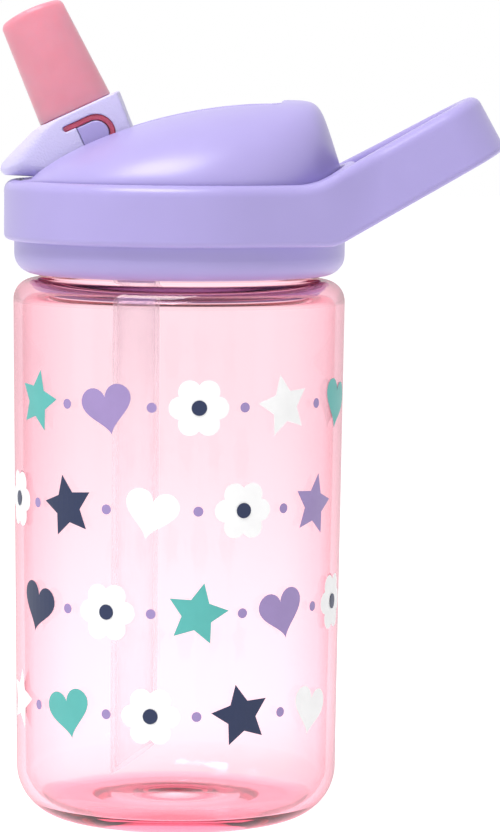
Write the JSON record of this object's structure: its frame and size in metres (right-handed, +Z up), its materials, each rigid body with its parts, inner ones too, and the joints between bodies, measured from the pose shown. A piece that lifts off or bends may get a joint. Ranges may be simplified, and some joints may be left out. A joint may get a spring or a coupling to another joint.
{
  "type": "kids water bottle",
  "caption": "Clear pink kids' drinking bottle with printed figures, a lilac screw cap, a flip spout with a soft mouthpiece, a straw and a fixed carry loop.",
  "frame": {"origin": "centre of the standing face, on the bottle's own axis", "axes": "+Z up along the bottle's axis, +X towards the carry loop, -X towards the open spout"},
  "size_m": [0.1126, 0.0786, 0.1838],
  "materials": {
    "clear_plastic": "clear pink, glossy",
    "lilac_plastic": "lilac, satin",
    "coral_silicone": "translucent coral, soft satin",
    "white_silicone": "milky, soft satin",
    "straw_plastic": "translucent, glossy",
    "white_ink": "printed ink, satin",
    "teal_ink": "printed ink, satin",
    "lavender_ink": "printed ink, satin",
    "navy_ink": "printed ink, satin"
  },
  "bodies": {
    "bottle": {"bottle_body": "clear_plastic"},
    "gasket": {"cap_gasket": "white_silicone"},
    "cap": {"cap_base": "lilac_plastic", "dome_cover": "lilac_plastic", "carry_ring": "lilac_plastic", "spout_seal": "coral_silicone", "vent_valve": "white_silicone", "straw": "straw_plastic"},
    "spout": {"flip_spout": "lilac_plastic", "bite_valve": "coral_silicone"}
  },
  "joints": [
    {"name": "cap_lift", "type": "slide", "parent": "bottle", "child": "gasket", "axis": [0, 0, 1], "range_m": [0, 0.0043]},
    {"name": "cap_turn", "type": "hinge", "parent": "gasket", "child": "cap", "pos_m": [0, 0, 0], "axis": [0, 0, 1], "range_deg": [0, 380]},
    {"name": "spout_flip", "type": "hinge", "parent": "cap", "child": "spout", "pos_m": [-0.0165, 0, 0.1494], "axis": [0, 1, 0], "range_deg": [0, 115]}
  ],
  "couplings": [
    {"joint": "cap_lift", "follows": "cap_turn", "m_per_rad": 0.00063662}
  ]
}
